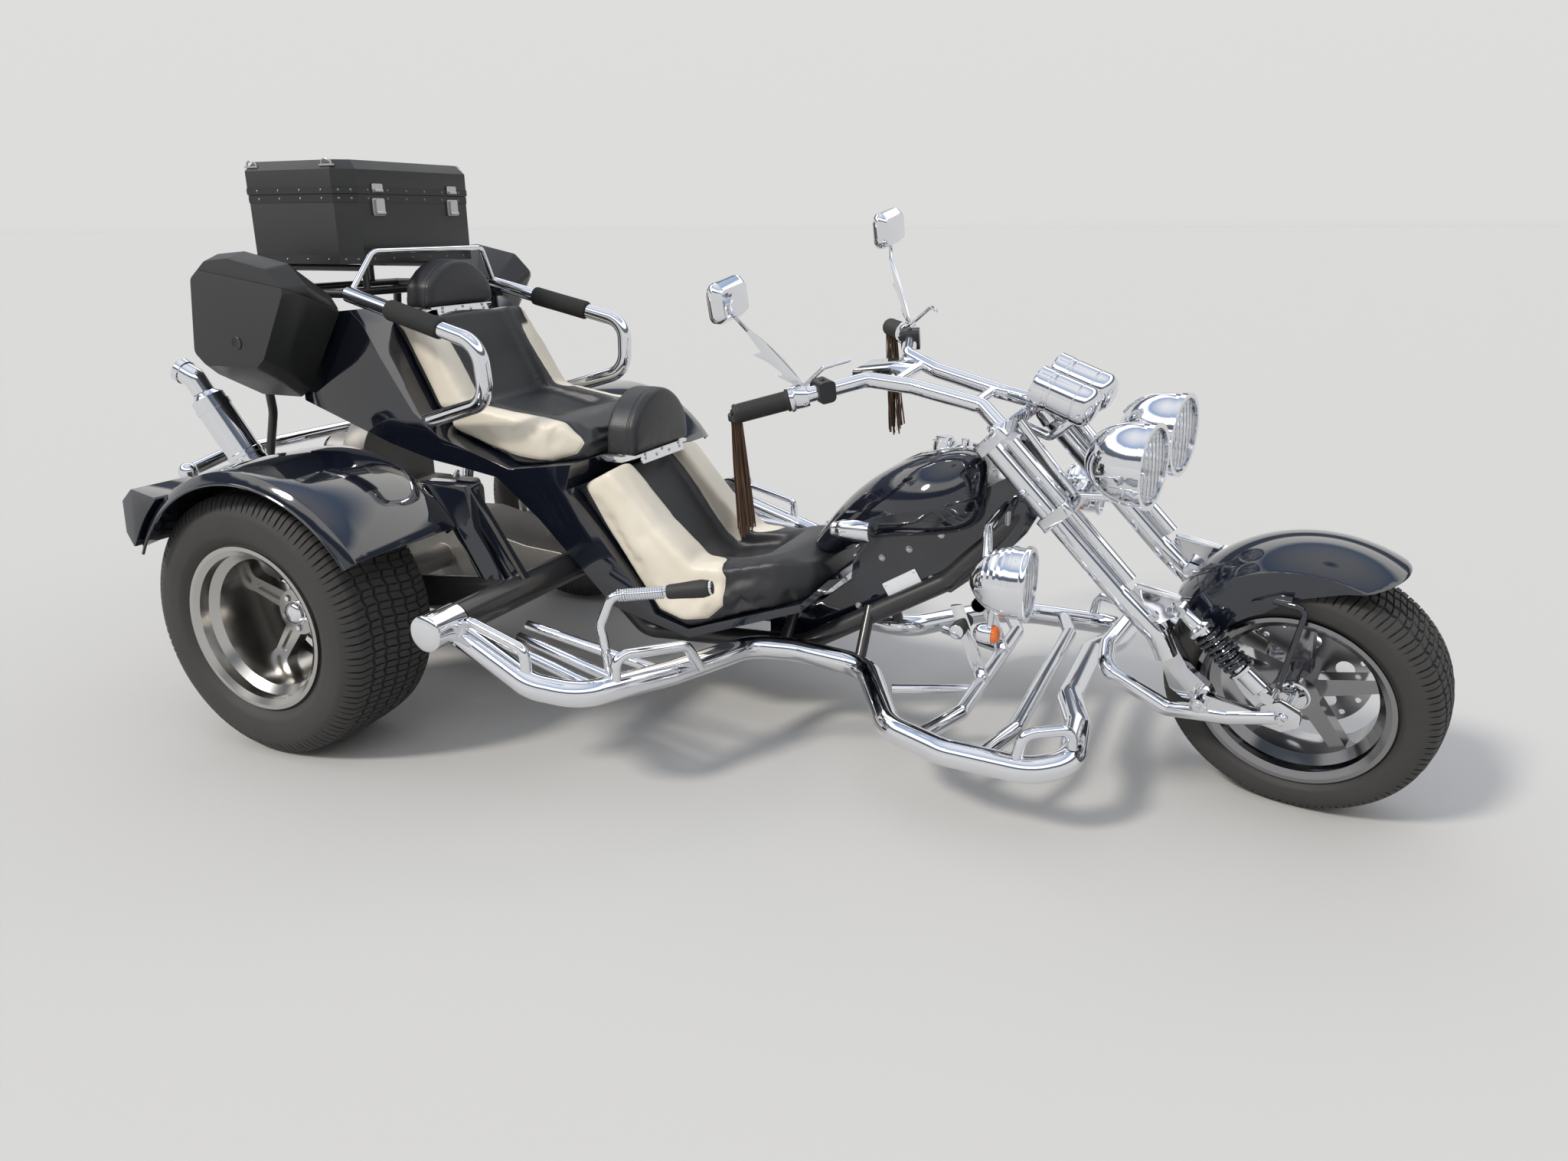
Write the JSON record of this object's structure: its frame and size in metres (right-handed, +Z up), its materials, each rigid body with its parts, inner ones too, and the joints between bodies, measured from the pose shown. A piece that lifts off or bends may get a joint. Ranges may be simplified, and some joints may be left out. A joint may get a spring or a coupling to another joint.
{
  "type": "motor trike",
  "caption": "Long raked-fork motor trike with tandem seat tub, wide rear wheels, open rear engine, bright side bars and luggage cases.",
  "frame": {"origin": "on the ground under the middle of the whole vehicle's box", "axes": "+X forwards along the longest extent, +Y to the vehicle's left, +Z up"},
  "size_m": [3.23, 1.714, 1.436],
  "materials": {
    "frame_black": "satin",
    "engine_metal": "cast",
    "chrome": "polished",
    "body_gloss": "gloss",
    "seat_leather": "satin",
    "rubber": "matt",
    "leather": "matt",
    "case_plastic": "satin",
    "lamp_red": "gloss",
    "lamp_amber": "gloss",
    "lens": "clear",
    "tyre": "matt",
    "rim_metal": "polished",
    "disc_steel": "brushed"
  },
  "bodies": {
    "chassis": {"frame_tubes": "frame_black", "backbone": "frame_black", "transaxle": "engine_metal", "suspension": "frame_black", "engine": "engine_metal", "mufflers": "chrome", "rear_bumper": "chrome", "body_tub": "body_gloss", "driver_seat": "seat_leather", "passenger_seat": "seat_leather", "head_pads": "seat_leather", "pad_plates": "chrome", "grab_rails": "chrome", "rail_foams": "rubber", "luggage_rack": "frame_black", "top_case": "case_plastic", "side_cases": "case_plastic", "rear_fenders": "body_gloss", "fender_blades": "body_gloss", "tail_pods": "lamp_red", "side_bars": "chrome", "foot_grilles": "chrome", "tank": "body_gloss", "dash": "chrome", "spot_lamps": "chrome", "spot_lenses": "lens", "indicators": "lamp_amber", "control_levers": "chrome"},
    "steering": {"fork_tubes": "chrome", "fork_clamps": "chrome", "link_arm": "chrome", "shocks": "chrome", "front_fender": "body_gloss", "front_caliper": "disc_steel", "handlebar": "chrome", "grips": "rubber", "bar_controls": "chrome", "mirrors": "chrome", "fringes": "leather", "headlights": "chrome", "headlight_lenses": "lens", "gauges": "chrome"},
    "front_wheel": {"front_tyre": "tyre", "front_rim": "rim_metal", "front_disc": "disc_steel"},
    "rear_wheel_left": {"rear_tyre_left": "tyre", "rear_rim_left": "rim_metal"},
    "rear_wheel_right": {"rear_tyre_right": "tyre", "rear_rim_right": "rim_metal"},
    "top_lid": {"top_case_lid": "case_plastic"},
    "side_lid_l": {"side_lid_left": "case_plastic"},
    "side_lid_r": {"side_lid_right": "case_plastic"}
  },
  "joints": [
    {"name": "steer", "type": "hinge", "parent": "chassis", "child": "steering", "pos_m": [0.6867, 0, 0.72], "axis": [-0.6947, 0, 0.7193], "range_deg": [-12, 48]},
    {"name": "front_wheel_spin", "type": "hinge", "parent": "steering", "child": "front_wheel", "pos_m": [1.32306, -0.0521, 0.29186], "axis": [0.2223, 0.9511, 0.2147], "continuous": true},
    {"name": "rear_wheel_left_spin", "type": "hinge", "parent": "chassis", "child": "rear_wheel_left", "pos_m": [-1.011, 0.67, 0.338], "axis": [0, 1, 0], "continuous": true},
    {"name": "rear_wheel_right_spin", "type": "hinge", "parent": "chassis", "child": "rear_wheel_right", "pos_m": [-1.011, -0.67, 0.338], "axis": [0, 1, 0], "continuous": true},
    {"name": "top_lid_hinge", "type": "hinge", "parent": "chassis", "child": "top_lid", "pos_m": [-1.475, 0, 1.3505], "axis": [0, -1, 0], "range_deg": [0, 85]},
    {"name": "side_lid_l_hinge", "type": "hinge", "parent": "chassis", "child": "side_lid_l", "pos_m": [-1.106, 0.34, 1.06468], "axis": [0.9898, 0, -0.1426], "range_deg": [0, 40]},
    {"name": "side_lid_r_hinge", "type": "hinge", "parent": "chassis", "child": "side_lid_r", "pos_m": [-1.106, -0.34, 1.06468], "axis": [-0.9898, 0, 0.1426], "range_deg": [0, 40]}
  ]
}
